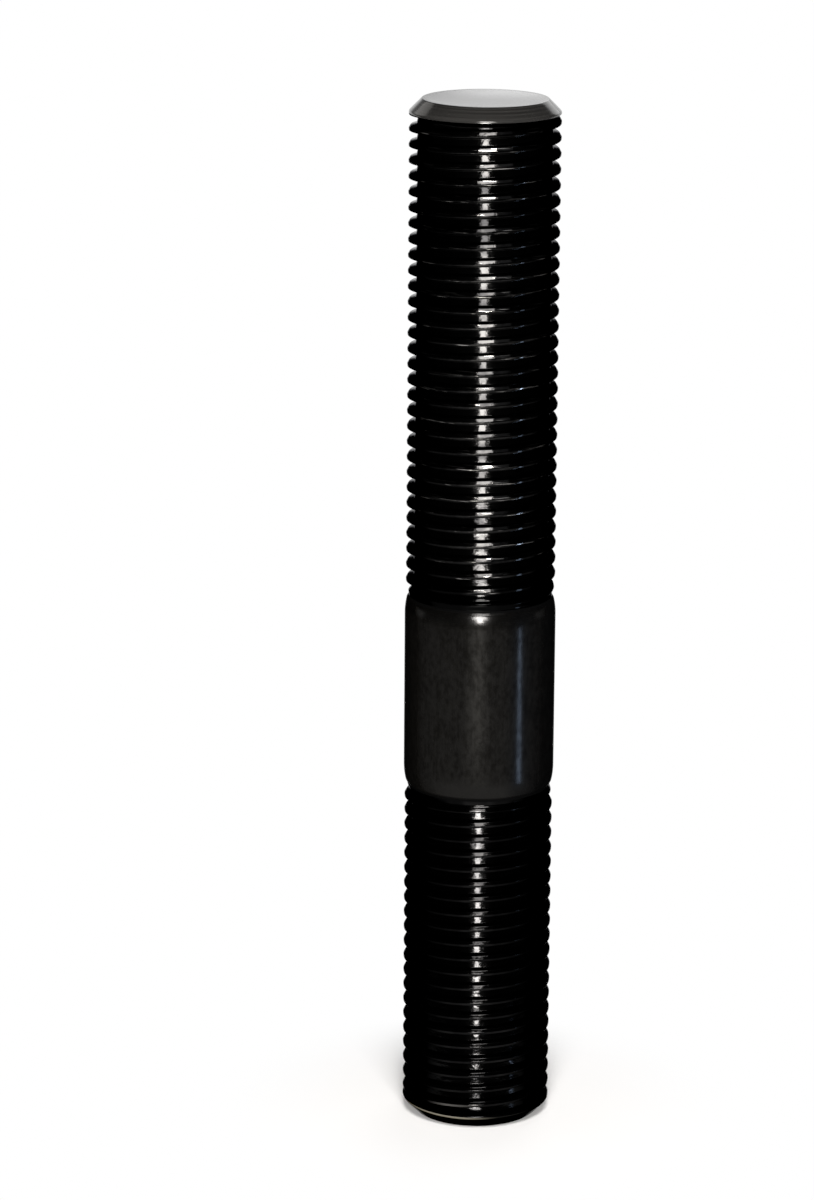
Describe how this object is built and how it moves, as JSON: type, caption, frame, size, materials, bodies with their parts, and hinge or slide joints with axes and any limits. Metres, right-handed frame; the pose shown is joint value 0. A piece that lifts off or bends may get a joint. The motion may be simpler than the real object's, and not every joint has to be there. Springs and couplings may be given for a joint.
{
  "type": "threaded stud",
  "caption": "Round black steel bar threaded at both ends, with a plain shank between them. One end screws into a wheel hub and the longer end takes the wheel nut.",
  "frame": {"origin": "middle of the hub end's flat face, which the stud stands on", "axes": "+Z along the stud's axis, from the hub end up to the nut end. The stud is round, so +X and +Y only set where the threads start."},
  "size_m": [0.012, 0.012, 0.0835],
  "materials": {
    "black_steel": "black, satin on the shank and glossy on the rolled threads"
  },
  "bodies": {
    "root": {"stud": "black_steel"}
  },
  "joints": []
}
